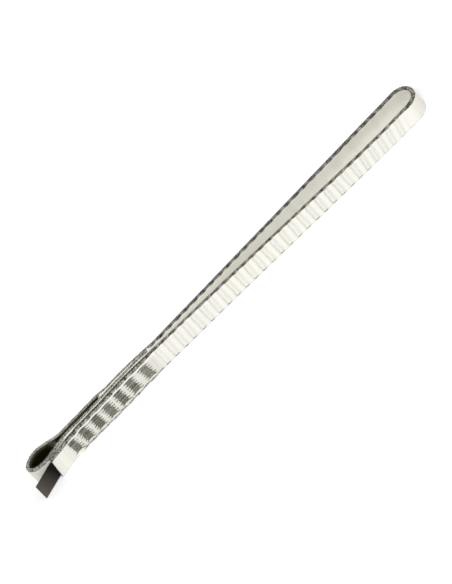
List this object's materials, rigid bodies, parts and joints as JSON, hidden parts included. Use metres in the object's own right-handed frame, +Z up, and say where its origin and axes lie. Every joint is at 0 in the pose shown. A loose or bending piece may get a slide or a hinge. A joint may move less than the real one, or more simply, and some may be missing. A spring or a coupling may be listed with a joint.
{
  "type": "quickdraw sling",
  "caption": "Webbing sling of a quickdraw: flat strap bartacked into a long loop, a sewn section and a small lined eye, standing on its edges.",
  "frame": {"origin": "on the surface that the sling stands on, under the middle layer at the fourth bartack", "axes": "+X along the sewn section towards the long loop, +Y towards the strap's back layer, +Z up, across the width of the strap"},
  "size_m": [0.2539, 0.0207, 0.011],
  "materials": {
    "strap": "matte white woven webbing with salt and pepper selvedges",
    "thread": "dark grey sewing thread",
    "liner": "matte black liner strip",
    "label": "black woven label, bare"
  },
  "bodies": {
    "sewn_section": {"strap_front_layer": "strap", "strap_middle_layer": "strap", "strap_back_layer": "strap", "eye_liner_tail": "liner", "label_sewn_end": "label", "bartack_1": "thread", "bartack_2": "thread", "bartack_3": "thread", "bartack_4": "thread", "bartack_5": "thread", "bartack_6": "thread", "bartack_7": "thread"},
    "small_eye": {"strap_small_eye": "strap", "eye_liner": "liner"},
    "long_loop": {"strap_long_loop": "strap"},
    "end_flap": {"strap_end_flap": "strap", "label_under_flap": "label"},
    "label": {"label_free_end": "label"}
  },
  "joints": [
    {"name": "small_eye_bend", "type": "hinge", "parent": "sewn_section", "child": "small_eye", "pos_m": [-0.02661, 0.00185, 0.0055], "axis": [0, 0, 1], "range_deg": [-55, 0]},
    {"name": "long_loop_bend", "type": "hinge", "parent": "sewn_section", "child": "long_loop", "pos_m": [0.0321, 0, 0.0055], "axis": [0, 0, 1], "range_deg": [-80, 80]},
    {"name": "end_flap_bend", "type": "hinge", "parent": "sewn_section", "child": "end_flap", "pos_m": [-0.0269, -0.0031, 0.0055], "axis": [0, 0, 1], "range_deg": [0, 80]},
    {"name": "label_bend", "type": "hinge", "parent": "end_flap", "child": "label", "pos_m": [-0.03827, -0.00408, 0.0055], "axis": [0, 0, 1], "range_deg": [-25, 90]}
  ]
}
